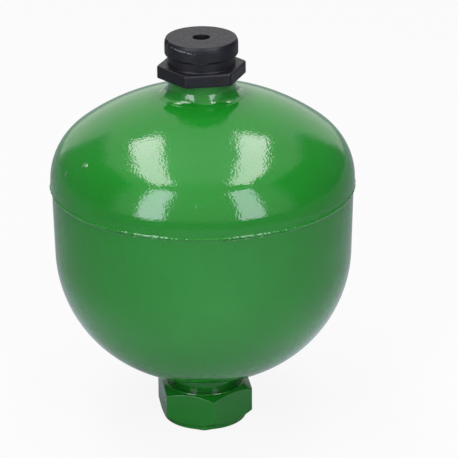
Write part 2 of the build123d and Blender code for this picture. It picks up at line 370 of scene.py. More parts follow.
def bell(distance, reach):
    """A bell curve: e to the power of less the square of distance over reach."""
    return np.exp(-(distance / reach) ** 2)


def turned_from(angles, degrees):
    """Angles measured from a place given in degrees, within half a turn either way."""
    return (angles - radians(degrees) + pi) % (2 * pi) - pi


def around(radius, height, angles):
    """Points at a radius and height for each angle from -Y towards +X.

    x is radius times sine, y is less radius times cosine, z is height.
    """
    radius, height = np.broadcast_arrays(radius, height)
    x, y = radius * np.sin(angles), -radius * np.cos(angles)
    return np.stack([x, y, np.broadcast_to(height, x.shape)], axis=-1)


def turned(outline, angles):
    """Surface of revolution of an outline of (radius, height) rows."""
    return around(outline[:, :1], outline[:, 1:], angles)


def ring_faces(rows, columns):
    """Four-cornered faces of a grid that closes round its rows and its columns."""
    index = np.arange(rows * columns).reshape(rows, columns)
    upper = np.roll(index, -1, axis=0)
    corners = [index, np.roll(index, -1, axis=1), np.roll(upper, -1, axis=1), upper]
    return np.stack(corners, axis=-1).reshape(-1, 4)


def enclosed(points, faces):
    """Signed volume inside faces: a sixth of the sum of corners' triple products."""
    triangles = np.vstack([faces[:, :3], faces[:, [0, 2, 3]]])
    a, b, c = (points[triangles[:, k]] for k in range(3))
    return np.sum(a * np.cross(b, c)) / 6


def placed(name, data):
    """A new object with its data, linked to the scene."""
    item = bpy.data.objects.new(name, data)
    bpy.context.scene.collection.objects.link(item)
    return item


def make_piece(name, points, body, materials, parts=None):
    """A smooth closed ring from a grid of points (rows, columns, 3), facing outwards.

    parts gives each row of faces its own material number.
    """
    rows, columns = points.shape[:2]
    flat = points.reshape(-1, 3)
    faces = ring_faces(rows, columns)
    if enclosed(flat, faces) < 0:
        faces = faces[:, ::-1]
    mesh = bpy.data.meshes.new(name)
    mesh.from_pydata(flat.tolist(), [], faces.tolist())
    for material in materials:
        mesh.materials.append(finish_of(material))
    if parts is not None:
        mesh.polygons.foreach_set("material_index", np.repeat(parts, columns))
    mesh.shade_smooth()
    mesh.set_sharp_from_angle(angle=SHARP_EDGE)
    mesh.update()
    piece = placed(name, mesh)
    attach(piece, body)
    return piece


class Dome:
    """A drawn shell's form: a drafted skirt, a knuckle arc and a crown arc.

    Depths run away from the rim plane. The knuckle's arc touches the skirt, and
    the crown's arc touches the knuckle's and is centred on the axis.
    """

    def __init__(self, rim, draft, skirt, knuckle, crown):
        self.rim, self.draft, self.knuckle, self.crown = rim, draft, knuckle, crown
        self.knuckle_r = rim - skirt * tan(draft) - knuckle * cos(draft)
        self.knuckle_h = skirt - knuckle * sin(draft)
        self.crown_h = self.knuckle_h - sqrt((crown - knuckle) ** 2 - self.knuckle_r ** 2)
        self.join = atan2(self.knuckle_h - self.crown_h, self.knuckle_r)

    def radius(self, depth, inset=0.0):
        """Radius of the skirt at a depth."""
        return self.rim - depth * tan(self.draft) - inset / cos(self.draft)

    def depth(self, radius):
        """Depth of the knuckle or crown at a radius."""
        if radius > self.knuckle_r + self.knuckle * cos(self.join):
            return self.knuckle_h + sqrt(self.knuckle ** 2 - (radius - self.knuckle_r) ** 2)
        return self.crown_h + sqrt(self.crown ** 2 - radius ** 2)

    def section(self, start, hole, inset=0.0, count=60):
        """Rows of (radius, depth) from the skirt at a start depth to a hole's edge."""
        arc, crown = self.knuckle - inset, self.crown - inset
        last = self.join
        past_knuckle = hole < self.knuckle_r + arc * cos(self.join)
        if not past_knuckle:
            last = acos((hole - self.knuckle_r) / arc)
        turn = np.linspace(self.draft, last, count)
        knuckle = [self.knuckle_r + arc * np.cos(turn), self.knuckle_h + arc * np.sin(turn)]
        rows = [[[self.radius(start, inset), start]], np.stack(knuckle, axis=1)]
        if past_knuckle:
            turn = np.linspace(self.join, acos(hole / crown), count)[1:]
            over = [crown * np.cos(turn), self.crown_h + crown * np.sin(turn)]
            rows.append(np.stack(over, axis=1))
        return np.vstack(rows)


def domes():
    """The fluid shell's and the gas shell's forms."""
    s = bpy.context.scene.accumulator_shells
    fluid = Dome(s.rim, s.fluid_draft, s.fluid_skirt, s.fluid_knuckle, s.fluid_crown)
    gas = Dome(s.rim + s.gas_step, 0.0, s.gas_skirt, s.gas_knuckle, s.gas_crown)
    return fluid, gas


# ---- Finishes ----------------------------------------------------------------

WHITE = (1.0, 1.0, 1.0)
MIX_FIRST, MIX_SECOND, MIX_RESULT = 6, 7, 2  # colour sockets of a Mix node

# Dust nibs in the enamel: degrees from -Y towards +X, radius, height over the seam, and bump
NIBS = (
    (-11.6, 0.0679, 0.0139, 0.00031), (-67.0, 0.0632, 0.0211, 0.0009),
    (-76.0, 0.0675, 0.0146, 0.0004), (96.0, 0.0604, 0.0239, 0.0004),
)
NIB_RADIUS = 0.0018
FINE_DUST = 0.00002  # height of the finest specks in the enamel
SLOW_WAVES = 2.6  # height of the enamel's slow waves, in heights of its orange peel

# Painted highlights on the cap, lighter grey lines that stand in for glints on its disc's edges:
# middle in x, y and height from its top, half lengths, and turn
CAP_GLINT_LINES = (
    ((-0.0115, -0.0118, -0.0021), (0.0085, 0.0085, 0.00045), (0.0, 0.16, 0.0)),
    ((-0.0035, -0.0155, -0.0073), (0.0055, 0.003, 0.0002), (0.0, 0.0, 0.0)),
)
GLINT_COLOUR = (0.13, 0.14, 0.15)
TOOL_MARK = 0.0006  # length over which the rings of a turning tool move on by one radian


class Nodes:
    """A node tree being built."""

    def __init__(self, tree):
        self.tree = tree

    def fill(self, node, inputs):
        """Give a node's inputs their values, each a constant or another node's output."""
        for key, value in inputs.items():
            if isinstance(value, bpy.types.NodeSocket):
                self.tree.links.new(value, node.inputs[key])
            else:
                node.inputs[key].default_value = value

    def add(self, kind, inputs=None, **settings):
        """A new node with its settings and inputs."""
        node = self.tree.nodes.new(kind)
        for key, value in settings.items():
            setattr(node, key, value)
        self.fill(node, inputs or {})
        return node

    def compute(self, operation, *values):
        """A sum of numbers or outputs, or another operation on them."""
        return self.add("ShaderNodeMath", dict(enumerate(values)), operation=operation).outputs[0]

    def spread(self, value, low, high, start=0.35, end=0.65):
        """A value's range from start to end, spread over low to high."""
        return self.add("ShaderNodeMapRange", {
            "Value": value, "From Min": start, "From Max": end, "To Min": low, "To Max": high,
        }).outputs["Result"]

    def looks(self):
        """1 for the camera's rays, 1 for mirrored ones, and 1 for either or through glass."""
        path = self.add("ShaderNodeLightPath").outputs
        camera, mirrored = path["Is Camera Ray"], path["Is Glossy Ray"]
        either = self.compute("MAXIMUM", camera, mirrored)
        return camera, mirrored, self.compute("MAXIMUM", either, path["Is Transmission Ray"])


class Recipe(Nodes):
    """A material being built, with Object coordinates to hand."""

    def __init__(self, name):
        self.material = bpy.data.materials.new(name)
        self.material.use_nodes = True
        super().__init__(self.material.node_tree)
        self.shader = self.tree.nodes["Principled BSDF"]
        self.place = self.add("ShaderNodeTexCoord").outputs["Object"]

    def mapped(self, settings, **inputs):
        """Object coordinates moved, turned or scaled."""
        node = self.add("ShaderNodeMapping", {"Vector": self.place, **inputs}, **settings)
        return node.outputs["Vector"]

    def noise(self, size, detail=2.0, roughness=0.5, place=None):
        """Noise whose features are about a size across, in metres."""
        return self.add("ShaderNodeTexNoise", {
            "Vector": place or self.place, "Scale": 1 / size, "Detail": detail,
            "Roughness": roughness,
        }).outputs["Fac"]

    def spot(self, middle, radius, turn=(0.0, 0.0, 0.0)):
        """A value that falls from 1 at a point to 0 at its radius along each turned axis."""
        place = self.mapped(
            {"vector_type": "TEXTURE"}, Location=middle, Rotation=turn, Scale=radius,
        )
        gradient = self.add("ShaderNodeTexGradient", {"Vector": place}, gradient_type="SPHERICAL")
        return gradient.outputs["Fac"]

    def blend(self, share, first, second):
        """A colour between two by a share; each is a colour or an output."""
        inputs = {"Factor": share}
        for key, value in ((MIX_FIRST, first), (MIX_SECOND, second)):
            is_output = isinstance(value, bpy.types.NodeSocket)
            inputs[key] = value if is_output else (*value, 1.0)
        return self.add("ShaderNodeMix", inputs, data_type="RGBA").outputs[MIX_RESULT]

    def bump(self, height, distance, below=None):
        """A bump from a height of 0 to 1 over a distance, on top of another."""
        inputs = {"Strength": 1.0, "Height": height, "Distance": distance}
        if below is not None:
            inputs["Normal"] = below
        return self.add("ShaderNodeBump", inputs).outputs["Normal"]

    def glow(self, colour, strength):
        """Light given off, of a colour and a strength that are constants or outputs."""
        node = self.add("ShaderNodeEmission", {"Color": colour, "Strength": strength})
        return node.outputs["Emission"]

    def finish(self, colour, roughness, normal, **constants):
        """Fill the shader's sockets and give the material."""
        self.fill(self.shader, {
            "Base Color": colour, "Roughness": roughness, "Normal": normal, **constants,
        })
        return self.material

    def surface(self, output):
        """Show an output as the material's surface, and give the material."""
        self.fill(self.tree.nodes["Material Output"], {"Surface": output})
        return self.material


def green_enamel(finishes):
    """Glossy enamel: slow change of depth, orange peel and a few dust nibs."""
    recipe = Recipe("green_enamel")
    depth = recipe.spread(recipe.noise(0.035, detail=3.0), 0.0, 1.0, start=0.3, end=0.7)
    colour = recipe.blend(depth, finishes.enamel, finishes.enamel_deep)
    gloss = recipe.spread(recipe.noise(0.012, detail=4.0), 0.07, 0.12)
    peel = recipe.bump(recipe.noise(finishes.peel_size, detail=1.0), finishes.peel_height)
    waves = SLOW_WAVES * finishes.peel_height
    slow = recipe.bump(recipe.noise(0.014, detail=1.0), waves, below=peel)
    dust = recipe.add("ShaderNodeTexVoronoi", {"Vector": recipe.place, "Scale": 60.0})
    specks = recipe.spread(dust.outputs["Distance"], 1.0, 0.0, start=0.012, end=0.03)
    normal = recipe.bump(specks, FINE_DUST, below=slow)
    for turn, radius, over_seam, height in NIBS:
        middle = (radius * sin(radians(turn)), -radius * cos(radians(turn)), SEAM + over_seam)
        normal = recipe.bump(recipe.spot(middle, (NIB_RADIUS,) * 3), height, below=normal)
    return recipe.finish(colour, gloss, normal, IOR=1.45)


def cap_plastic(finishes):
    """Satin moulded plastic: fine grain, flow marks, dusty scuffs and two painted highlight lines
    broken into dashes.
    """
    recipe = Recipe("cap_plastic")
    flow = recipe.mapped({}, Scale=(1.0, 0.35, 1.0))
    streaks = recipe.noise(0.006, detail=4.0, roughness=0.6, place=flow)
    scuffs = recipe.spread(streaks, 0.0, 0.6, start=0.5, end=0.8)
    colour = recipe.blend(scuffs, finishes.plastic, finishes.plastic_scuffed)
    broken = recipe.spread(recipe.noise(0.0016), 0.0, 1.0, start=0.36, end=0.52)
    # painted highlights: lighter grey lines, broken into dashes, stand in for glints on the disc's
    # edges
    for (x, y, from_top), radius, turn in CAP_GLINT_LINES:
        spot = recipe.spot((x, y, CAP_HIGH + from_top), radius, turn)
        line = recipe.spread(spot, 0.0, 1.0, start=0.05, end=0.3)
        colour = recipe.blend(recipe.compute("MULTIPLY", line, broken), colour, GLINT_COLOUR)
    gloss = recipe.spread(recipe.noise(0.002, detail=5.0), 0.36, 0.5)
    grain = recipe.bump(recipe.noise(0.0004), 0.000006)
    normal = recipe.bump(recipe.noise(0.005), 0.00003, below=grain)
    return recipe.finish(colour, gloss, normal, IOR=1.33)


def turned_metal(name, base, stained, gloss=(0.22, 0.4)):
    """Turned metal: rings of tool marks round the axis and faint stains."""
    recipe = Recipe(name)
    stains = recipe.spread(recipe.noise(0.008, detail=4.0), 0.0, 1.0)
    colour = recipe.blend(stains, base, stained)
    rough = recipe.spread(recipe.noise(0.003, detail=4.0), *gloss)
    # the texture's phase is twenty times its scaled place, in radians
    marks = recipe.add("ShaderNodeTexWave", {
        "Vector": recipe.place, "Scale": 1 / (20 * TOOL_MARK), "Distortion": 0.6,
    }, wave_type="RINGS", rings_direction="Z")
    normal = recipe.bump(marks.outputs["Fac"], 0.000006)
    return recipe.finish(colour, rough, normal, Metallic=1.0)


def moulded_rubber(name, base):
    """Matt rubber: talc bloom, fine grain and slow waves."""
    recipe = Recipe(name)
    bloom = recipe.spread(recipe.noise(0.01, detail=5.0), 0.0, 0.5)
    pale = tuple(2.4 * part for part in base)
    colour = recipe.blend(bloom, base, pale)
    rough = recipe.spread(recipe.noise(0.004, detail=3.0), 0.55, 0.75)
    grain = recipe.bump(recipe.noise(0.0006), 0.00002)
    normal = recipe.bump(recipe.noise(0.012, detail=1.0), 0.00006, below=grain)
    return recipe.finish(colour, rough, normal, IOR=1.5)


def finish_of(name):
    """The named material, built the first time that it is asked for."""
    if name in bpy.data.materials:
        return bpy.data.materials[name]
    f = bpy.context.scene.accumulator_finishes
    makers = {
        "green_enamel": lambda: green_enamel(f),
        "cap_plastic": lambda: cap_plastic(f),
        "zinc_plating": lambda: turned_metal(name, f.zinc, (0.5, 0.5, 0.47)),
        "oiled_steel": lambda: turned_metal(name, f.steel, (0.3, 0.28, 0.25)),
        "phosphated_thread": lambda: turned_metal(
            name, f.phosphate, (0.05, 0.05, 0.05), gloss=(0.4, 0.6),
        ),
        "bladder_rubber": lambda: moulded_rubber(name, tuple(f.rubber)),
        "seal_rubber": lambda: moulded_rubber(name, (0.02, 0.02, 0.02)),
    }
    return makers[name]()


# ---- The stage ---------------------------------------------------------------

# Tints of the front cards and flags, the overhead cards, the ceiling and the mirrored floor
COOL = (1.0, 0.97, 1.16)
WARM = (1.07, 0.97, 1.05)
PALE = (0.98, 1.0, 1.04)
MIRRORED_FLOOR = (0.98, 1.0, 1.2)

# Front lamps: name, degrees to the right of the camera, half width of the card as a share
# of its reach, and the shares of the card's and the lamp's radiance
FRONT_LAMPS = (("left", -38.5, 0.185, 0.93, 1.0), ("right", 35.3, 0.18, 0.8, 0.92))
FRONT_REACH = 1.5
FRONT_CARD_HEIGHT, FRONT_CARD_HALF = 1.02, 0.94
FRONT_LAMP_TURN = 0.68  # share of the card's turn
FRONT_LAMP_HEIGHT, FRONT_LAMP_HALF_WIDTH, FRONT_LAMP_HALF = 1.2, 0.28, 0.8

# Overhead lamps: name, share of the reach to the right, share of the lamp's radiance, and
# which way the card's ends lean
OVERHEAD_LAMPS = (("left", -0.45, 1.1, -1), ("right", 0.41, 0.75, 1))
OVERHEAD_REACH, OVERHEAD_AWAY, OVERHEAD_HEIGHT = 1.6, 0.07, 1.75
OVERHEAD_HALF_WIDTH, OVERHEAD_HALF, OVERHEAD_LEAN = 0.22, 0.78, 0.085
OVERHEAD_LAMP_SIDE = 0.6  # share of the card's distance to the side

CEILING_HEIGHT, CEILING_HALF, CEILING_SOFT = 2.6, 1.3, 0.3

# Grey side flags: name, side, and share of their radiance
FLAGS = (("left", -1, 1.0), ("right", 1, 0.7))
FLAG_SIDE, FLAG_AWAY, FLAG_HEIGHT = 2.4, 1.2, 1.3
FLAG_HALF_WIDTH, FLAG_HALF, FLAG_SOFT = 2.5, 1.7, 0.75

# The floor in reflections: a pool of light in front, less the object's own shade
POOL_MIDDLE, POOL_LOW, POOL_HIGH = (0.0, -0.2, 0.0), 0.37, 1.25
SHADE_MIDDLE, SHADE_RADIUS, SHADE_LOW = (-0.015, 0.0, 0.0), 0.095, 0.2
FLOOR_GLOW = 0.9  # share of the floor that glows where it is seen or mirrored


def raised(height):
    """A vector straight up."""
    return Vector((0, 0, height))


def level_axes(turn):
    """The level directions outwards at a turn round the axis, and across to the right."""
    return Vector((sin(turn), -cos(turn), 0)), Vector((cos(turn), sin(turn), 0))


def flat_mesh(name, corners):
    """A mesh with one four-cornered face."""
    mesh = bpy.data.meshes.new(name)
    mesh.from_pydata([tuple(corner) for corner in corners], [], [(0, 1, 2, 3)])
    return mesh


class ACCUMULATOR_OT_stage(Operator):
    """Camera, floor, lamps and background"""

    bl_idname = "accumulator.stage"
    bl_label = "Stage"

    def execute(self, context):
        stage = context.scene.accumulator_stage
        self.place_camera(context, stage)
        self.light_world(context, stage)
        self.lay_floor(stage)
        self.hang_lamps(stage)
        return {"FINISHED"}

    def place_camera(self, context, stage):
        """The camera stands on a sphere round the seam's middle and aims beside it."""
        turn, rise = stage.azimuth, stage.elevation
        out = Vector((sin(turn) * cos(rise), -cos(turn) * cos(rise), sin(rise)))
        _, right = level_axes(turn)
        up = right.cross(-out)
        eye = raised(SEAM) + stage.distance * out
        aim = raised(SEAM) + stage.aim_right * right - stage.aim_down * up
        data = bpy.data.cameras.new("studio_camera")
        data.lens = stage.lens
        data.sensor_width = 36.0
        data.clip_end = 50.0
        camera = placed("studio_camera", data)
        look = (aim - eye).to_track_quat("-Z", "Y")
        camera.rotation_mode = "QUATERNION"
        camera.rotation_quaternion = look @ Quaternion((0, 0, 1), -stage.roll)
        camera.location = eye
        context.scene.camera = camera
        context.scene.view_settings.view_transform = "Standard"

    def light_world(self, context, stage):
        """A plain light from all round, white where it is seen or mirrored."""
        world = bpy.data.worlds.new("studio_world")
        world.use_nodes = True
        context.scene.world = world
        nodes = Nodes(world.node_tree)
        _, _, seen = nodes.looks()
        strength = nodes.spread(seen, stage.plain_light, 1.0, start=0.0, end=1.0)
        background = world.node_tree.nodes["Background"]
        nodes.fill(background, {"Color": (*WHITE, 1.0), "Strength": strength})

    def lay_floor(self, stage):
        """A pale floor that keeps the object's shadow and looks white to the camera."""
        half = stage.floor_size / 2
        mesh = flat_mesh("floor", [
            (-half, -half, 0), (half, -half, 0), (half, half, 0), (-half, half, 0),
        ])
        floor = placed("floor", mesh)
        recipe = Recipe("floor_paper")
        tone = recipe.spread(recipe.noise(0.3), 0.0, 0.02)
        recipe.fill(recipe.shader, {
            "Base Color": recipe.blend(tone, stage.floor, WHITE), "Roughness": 0.9,
            "Specular IOR Level": 0.0,
        })
        # painted light and shadow: in reflections the floor glows with a painted pool of light,
        # darkened by a painted shadow of the object round the port
        pool = recipe.spot(POOL_MIDDLE, (stage.pool_size / 2,) * 3)
        lit = recipe.spread(pool, POOL_LOW, POOL_HIGH, start=0.0, end=1.0)
        shade = recipe.spot(SHADE_MIDDLE, (SHADE_RADIUS,) * 3)
        left = recipe.spread(shade, 1.0, SHADE_LOW, start=0.0, end=1.0)
        camera, mirrored, seen = recipe.looks()
        strength = recipe.compute("MAXIMUM", camera, recipe.compute("MULTIPLY", lit, left))
        glow = recipe.glow(recipe.blend(mirrored, WHITE, MIRRORED_FLOOR), strength)
        mix = recipe.add("ShaderNodeMixShader", {
            "Fac": recipe.compute("MULTIPLY", seen, FLOOR_GLOW),
            1: recipe.shader.outputs["BSDF"], 2: glow,
        })
        mesh.materials.append(recipe.surface(mix.outputs["Shader"]))

    def hang_lamps(self, stage):
        """Two tall lamps in front and two long ones overhead, each with its reflection.

        A front lamp stands square to the direction of its azimuth. An overhead one
        lies level and runs from front to back as the camera sees it. A bright ceiling
        and a grey flag on each side are there for reflections alone.
        """
        for name, side, half_width, card_share, lamp_share in FRONT_LAMPS:
            out, across = level_axes(stage.azimuth + radians(side))
            middle = out * FRONT_REACH + raised(FRONT_CARD_HEIGHT)
            self.card(
                f"front_{name}_card", middle, across * half_width * FRONT_REACH,
                raised(FRONT_CARD_HALF), stage.card_radiance * card_share, COOL,
            )
            out, across = level_axes(stage.azimuth + radians(FRONT_LAMP_TURN * side))
            lamp = out * FRONT_REACH + raised(FRONT_LAMP_HEIGHT)
            rise = (raised(SEAM) - lamp).normalized().cross(across)
            self.hang(
                f"front_{name}", lamp, across * FRONT_LAMP_HALF_WIDTH, rise * FRONT_LAMP_HALF,
                stage.front_radiance * lamp_share,
            )
        out, right = level_axes(stage.azimuth)
        away = -out
        half_u, half_v = OVERHEAD_HALF_WIDTH * right, OVERHEAD_HALF * away
        for name, side, share, way in OVERHEAD_LAMPS:
            middle, lamp = (
                OVERHEAD_REACH * (part * side * right + OVERHEAD_AWAY * away)
                + raised(OVERHEAD_HEIGHT)
                for part in (1.0, OVERHEAD_LAMP_SIDE)
            )
            self.card(
                f"overhead_{name}_card", middle, half_u, half_v, stage.card_radiance, WARM,
                lean=way * OVERHEAD_LEAN * away,
            )
            self.hang(
                f"overhead_{name}", lamp, half_u, half_v, stage.overhead_radiance * share,
            )
        self.card(
            "ceiling", raised(CEILING_HEIGHT), CEILING_HALF * right, CEILING_HALF * away,
            stage.ceiling_radiance, PALE, soft=CEILING_SOFT,
        )
        for name, side, share in FLAGS:
            middle = FLAG_SIDE * side * right + FLAG_AWAY * away + raised(FLAG_HEIGHT)
            self.card(
                f"flag_{name}", middle, FLAG_HALF_WIDTH * away, raised(FLAG_HALF),
                stage.flag_radiance * share, COOL, soft=FLAG_SOFT,
            )

    def hang(self, name, middle, half_u, half_v, radiance):
        """A soft lamp that gives light and isn't mirrored."""
        normal = half_u.cross(half_v).normalized()
        if normal.dot(raised(SEAM) - middle) < 0:
            normal = -normal
        data = bpy.data.lights.new(name, "AREA")
        data.shape = "RECTANGLE"
        data.size = 2 * half_u.length
        data.size_y = 2 * half_v.length
        data.energy = pi * data.size * data.size_y * radiance
        lamp = placed(name, data)
        up = half_v.normalized()
        side = up.cross(-normal)
        matrix = Matrix((side, up, -normal)).transposed().to_4x4()
        matrix.translation = middle
        lamp.matrix_world = matrix
        lamp.visible_camera = False
        lamp.visible_glossy = False

    def card(self, name, middle, half_u, half_v, radiance, tint, soft=0.0, lean=raised(0)):
        """A flat card that only reflections see, whose last end may lean.

        A soft one fades to the world's white from a share of the way to its rim.
        """
        mesh = flat_mesh(name, [
            middle - half_u - half_v, middle + half_u - half_v,
            middle + half_u + half_v + lean, middle - half_u + half_v - lean,
        ])
        card = placed(name, mesh)
        for kind in ("camera", "diffuse", "transmission", "volume_scatter", "shadow"):
            setattr(card, "visible_" + kind, False)
        recipe = Recipe(name + "_glow")
        strength = radiance
        if soft:
            layer = mesh.uv_layers.new(name="card")
            layer.data.foreach_set("uv", (-1, -1, 1, -1, 1, 1, -1, 1))
            place = recipe.add("ShaderNodeUVMap", uv_map="card").outputs["UV"]
            parts = recipe.add("ShaderNodeSeparateXYZ", {"Vector": place}).outputs
            across, along = (recipe.compute("ABSOLUTE", part) for part in parts[:2])
            to_rim = recipe.compute("MAXIMUM", across, along)
            strength = recipe.spread(to_rim, radiance, 1.0, start=soft, end=1.0)
        mesh.materials.append(recipe.surface(recipe.glow((*tint, 1.0), strength)))


# ---- Operators, one for each piece or group ----------------------------------

SHELL_SPACING = 0.004  # of the shells' rows

# The girth bead: columns round it, rows across its nose and toe and above them, and how
# far inside the solid bead's outline it stays
BEAD_COLUMNS, BEAD_FINE_ROWS, BEAD_TOP_ROWS = 1440, 38, 5
BEAD_MARGIN = 0.00002
# Waves round the bead and the fillet welds: height, cycles, phase, bend and the bend's cycles
BEAD_LUMPS = (
    (0.5, 97, 0.0, 2.2, 5), (0.45, 211, 1.1, 2.0, 7), (0.4, 23, 0.7, 1.4, 3),
    (0.4, 53, 2.9, 0.0, 0),
)
BEAD_WANDER = ((0.0001, 7, 0.4, 0.0, 0), (0.00006, 17, 2.1, 0.0, 0), (0.00005, 67, 0.0, 2.0, 4))
WELD_WAVES = ((0.00005, 7, 1.3, 0.0, 0), (0.00005, 12, 0.0, 0.0, 0), (0.000025, 17, 2.0, 0.0, 0))
BEAD_DROPS = (-50.0, -18.6, -3.5, 21.2, 118.0, 203.0)  # places of paint drops, in degrees
BEAD_DROP_HEIGHT, BEAD_DROP_WIDTH = 1.2, 0.009  # in ripples, and in radians
BEAD_LEAN = 0.008  # radians by which the ripples lean as they cross the bead
RIDGE_WIDTH, RIDGE_LUMPS = 0.45, 0.35  # of the toe's ridge, as shares of the nose's

WELD_COLUMNS, WELD_ROWS = 240, 22
WELD_STEP = 0.00012  # height of the fillet welds' toes over the shell
WELD_TOE = ((0.00012, -0.0001), (0.0001, 0.00006))  # corners under a toe, from the shell there
WELD_INTO_FOOT, WELD_INTO_SHELL = 0.0004, 0.001  # how far the welds' backs are buried

HEX_COLUMNS = 40  # on each flat of both hexagons
PORT_THREAD_ROWS, STUD_THREAD_ROWS = 10, 12  # on each turn of a thread
CONE_SPACING, DRIP_SPACING = 0.00011, 0.0002  # of the port's rows
PAST_CORNERS = 0.001  # how far the port's cones run on past its hexagon's corners
PORT_SHARPNESS, CAP_SHARPNESS = 350, 40  # a hexagon's corners are rounder for a lower one

# Insets of the port's lip from the face's edge: its outer foot, its crest and its inner foot
LIP_FOOT, LIP_START, LIP_END, LIP_BACK = -0.00005, 0.0001, 0.0005, 0.0009

# The drop of paint at the port's foot: degrees round, height out, half width and half height
DRIP_TURN, DRIP_OUT, DRIP_WIDTH, DRIP_HEIGHT = -12.0, 0.001, 0.0026, 0.003

# The cap: its disc's ledge under the top and the step in there, the thread's entry and the
# room over the stud's end
CAP_LEDGE, CAP_STEP, CAP_ENTRY, CAP_ROOM = 0.0022, 0.00012, 0.0008, 0.0003

FLANGE_SHARES = 0.03, 0.35, 0.7, 0.97  # rows over and under the flange, as shares of its width

# Where threads run out: over the stud's foot, over their upper end, and in what height
STUD_RUN_OUT, CAP_RUN_OUT = (0.0008, 0.001, 0.001), (0.0006, 0.0002, 0.0008)

# The nick in the cap: degrees round, drop from the top, half width, half height and reach in
NICK_TURN, NICK_DROP, NICK_WIDTH, NICK_HEIGHT, NICK_REACH = -84.0, 0.0012, 0.0012, 0.0011, 0.0016

RIM_ARC = 0.35, 2 * pi - 2.2  # where the rubber's rim bead starts and ends


def enamelled(name, points):
    """An enamelled piece of the vessel."""
    return make_piece(name, points, "vessel", ["green_enamel"])


def bent_sines(waves, along, angles):
    """Sum of sines round the axis, whose phases bend with other sines.

    Each is its height times the sine of its cycles times the angle along, plus its
    phase, plus its bend times the sine of the bend's cycles times the angle.
    """
    return sum(
        height * np.sin(cycles * along + phase + bend * np.sin(bend_cycles * angles))
        for height, cycles, phase, bend, bend_cycles in waves
    )


class ACCUMULATOR_OT_shells(Operator):
    """The two drawn shells, with their bevelled rims and bores"""

    bl_idname = "accumulator.shells"
    bl_label = "Shells"

    def execute(self, context):
        s = context.scene.accumulator_shells
        port = context.scene.accumulator_port
        boss = context.scene.accumulator_boss
        fluid, gas = domes()
        self.shell("fluid_shell", fluid, -1, port.neck / 2, s)
        self.shell("gas_shell", gas, 1, boss.foot / 2, s)
        return {"FINISHED"}

    def shell(self, node, dome, way, hole, s):
        """A closed wall: outer form, groove bevel, rim, and inner form inset by the wall."""
        outer = dome.section(s.groove_half, hole)
        inner = dome.section(0.0, hole, s.wall)
        rows = np.vstack([outer[::-1], [[s.rim - s.groove_depth, 0.0]], inner])
        rows = divide(rows, SHELL_SPACING)
        rows[:, 1] = SEAM + way * rows[:, 1]
        points = turned(rows, even_angles(s.columns))
        piece = enamelled(node + "_wall", points)
        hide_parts(node)


class ACCUMULATOR_OT_girth_weld(Operator):
    """The rippled weld bead that joins the two shells"""

    bl_idname = "accumulator.girth_weld"
    bl_label = "Girth weld"

    def execute(self, context):
        s = context.scene.accumulator_shells
        fluid, gas = domes()
        angles = even_angles(BEAD_COLUMNS)
        toe = s.groove_half + s.bead_lap
        low, high = fluid.radius(toe), gas.radius(s.groove_half)
        # rows crowd at the nose and the toe, between the low toe and the groove's top edge
        fine = np.linspace(-1.3 * s.toe_drop, 2 * s.nose_half - s.crest_drop, BEAD_FINE_ROWS)
        over = np.linspace(fine[-1], s.groove_half, BEAD_TOP_ROWS)[1:]
        height = np.concatenate([[-toe], fine, over])[:, None]
        lumps, slump = self.ripples(angles, height / toe)
        # radius: level with each shell, with a smooth step between them under the crest,
        # plus a bell curve for the nose and a small one for the toe
        step = smooth((height + s.toe_drop) / (s.toe_drop - s.crest_drop))
        nose = bell(height + s.crest_drop - slump, s.nose_half)
        ridge = bell(height + s.toe_drop + slump, RIDGE_WIDTH * s.nose_half)
        radius = low + (high - low) * step
        radius = radius + nose * (s.bead_proud + s.ripple * lumps)
        radius = radius + ridge * s.toe_proud * (1 + RIDGE_LUMPS * lumps)
        radius = np.minimum(radius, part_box("girth_weld")[1][0] - BEAD_MARGIN)
        radius[-1] = high
        # the root is one more row, at the bottom of the groove
        radius = np.insert(radius, 0, s.rim - s.groove_depth, axis=0)
        height = SEAM + np.insert(height, 0, 0.0, axis=0)
        points = around(radius, height, angles)
        piece = enamelled("girth_bead", points)
        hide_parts("girth_weld")
        return {"FINISHED"}

    def ripples(self, angles, t):
        """Uneven ripples of the bead: its lumps, and how far its nose wanders up and down.

        Lumps are sines that crowd and thin out and lean with the height across the bead,
        and a few drops of paint, each a bell curve. They stay within about 2, apart from
        the drops.
        """
        lean = angles + BEAD_LEAN * np.sin(3.1 * t + 5 * angles)
        lumps = bent_sines(BEAD_LUMPS, lean, angles)
        for degrees in BEAD_DROPS:
            drop = bell(turned_from(angles, degrees), BEAD_DROP_WIDTH)
            lumps = lumps + BEAD_DROP_HEIGHT * drop
        return lumps, bent_sines(BEAD_WANDER, angles, angles)


def fillet_bead(name, node, dome, way, foot, leg, height, fullness=0.0):
    """A smooth painted weld between a dome and a round foot.

    Its face is a quadratic curve from the foot to a low toe step. The curve is drawn
    to the inner corner where the foot meets the dome, or a share of the way from
    there to the face's middle by its fullness. Small waves run round it.
    """
    angles = even_angles(WELD_COLUMNS)
    toe_r = foot + leg
    shell = dome.depth(toe_r)
    toe = np.array([toe_r, shell + WELD_STEP])
    corner = np.array([foot, dome.depth(foot)])
    top = corner + [0, height]
    drawn_to = corner + fullness * ((toe + top) / 2 - corner)
    t = np.linspace(0, 1, WELD_ROWS)[:, None]
    face = (1 - t) ** 2 * toe + 2 * t * (1 - t) * drawn_to + t ** 2 * top
    step = np.add(WELD_TOE, (toe_r, shell))
    back = foot - WELD_INTO_FOOT
    rows = np.vstack([step, face, [[back, top[1]], [back, shell - WELD_INTO_SHELL]]])
    # the waves are highest in the middle of the face and die out at its ends
    share = np.concatenate([[0, 0], np.sin(pi * t[:, 0]), [0, 0]])[:, None]
    rise = share * bent_sines(WELD_WAVES, angles, angles)
    points = around(rows[:, :1] + rise, SEAM + way * (rows[:, 1:] + rise), angles)
    piece = enamelled(name, points)
    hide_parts(node)


